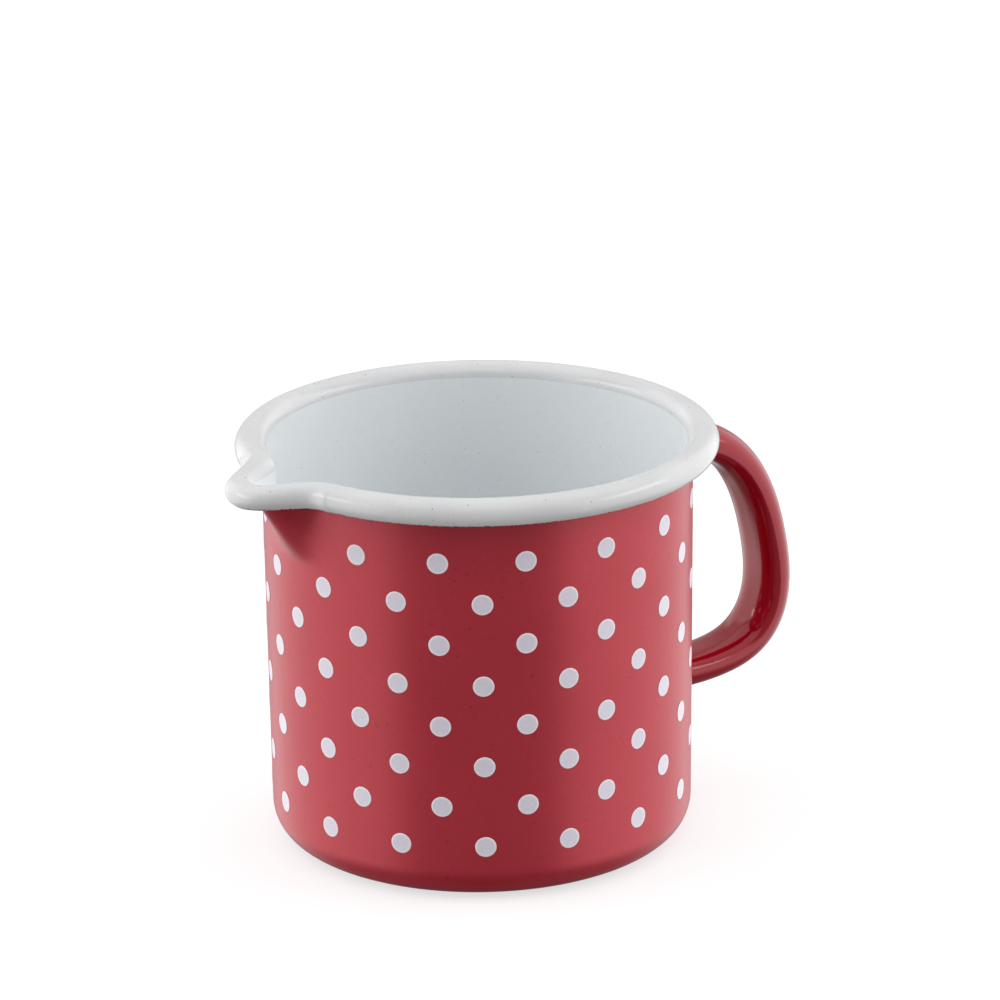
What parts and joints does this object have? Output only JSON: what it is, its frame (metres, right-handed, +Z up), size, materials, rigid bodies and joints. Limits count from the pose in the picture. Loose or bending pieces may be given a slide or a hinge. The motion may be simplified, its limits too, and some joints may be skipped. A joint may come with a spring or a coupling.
{
  "type": "enamelled candle melting pot",
  "caption": "Enamelled steel pot with a pressed pouring spout, rolled white rim, dotted red outside and hollow side handle, for melting and pouring candle wax.",
  "frame": {"origin": "centre of the flat underside, on the body's axis", "axes": "+Z up along the body's axis, +X towards the handle, -X towards the spout"},
  "size_m": [0.1765, 0.127, 0.1114],
  "materials": {
    "body_steel": "drawn and pickled sheet, hidden under the enamel",
    "white_inside": "smooth fired white enamel with a cool cast",
    "white_rim": "glossy fired white enamel with a few dark specks",
    "ground_coat_rim": "dark ground coat left bare under the bead",
    "red_outside": "semi-gloss fired red enamel with fine grain",
    "ground_coat_base": "dark ground coat on the underside",
    "dot_decal": "thin fired white decal dots",
    "handle_steel_outer": "pressed sheet, hidden under the enamel",
    "handle_steel_inner": "pressed sheet, hidden under the enamel",
    "seam_weld": "weld metal ground flush",
    "upper_weld": "weld fillet, hidden under the enamel",
    "lower_weld": "weld fillet, hidden under the enamel",
    "red_handle": "high-gloss fired red enamel"
  },
  "bodies": {
    "root": {"steel_body": "body_steel", "inner_enamel": "white_inside", "rim_enamel": "white_rim", "rim_ground_coat": "ground_coat_rim", "outer_enamel": "red_outside", "base_ground_coat": "ground_coat_base", "polka_dots": "dot_decal", "handle_outer_shell": "handle_steel_outer", "handle_inner_strip": "handle_steel_inner", "handle_seam_welds": "seam_weld", "handle_weld_upper": "upper_weld", "handle_weld_lower": "lower_weld", "handle_enamel": "red_handle"}
  },
  "joints": []
}
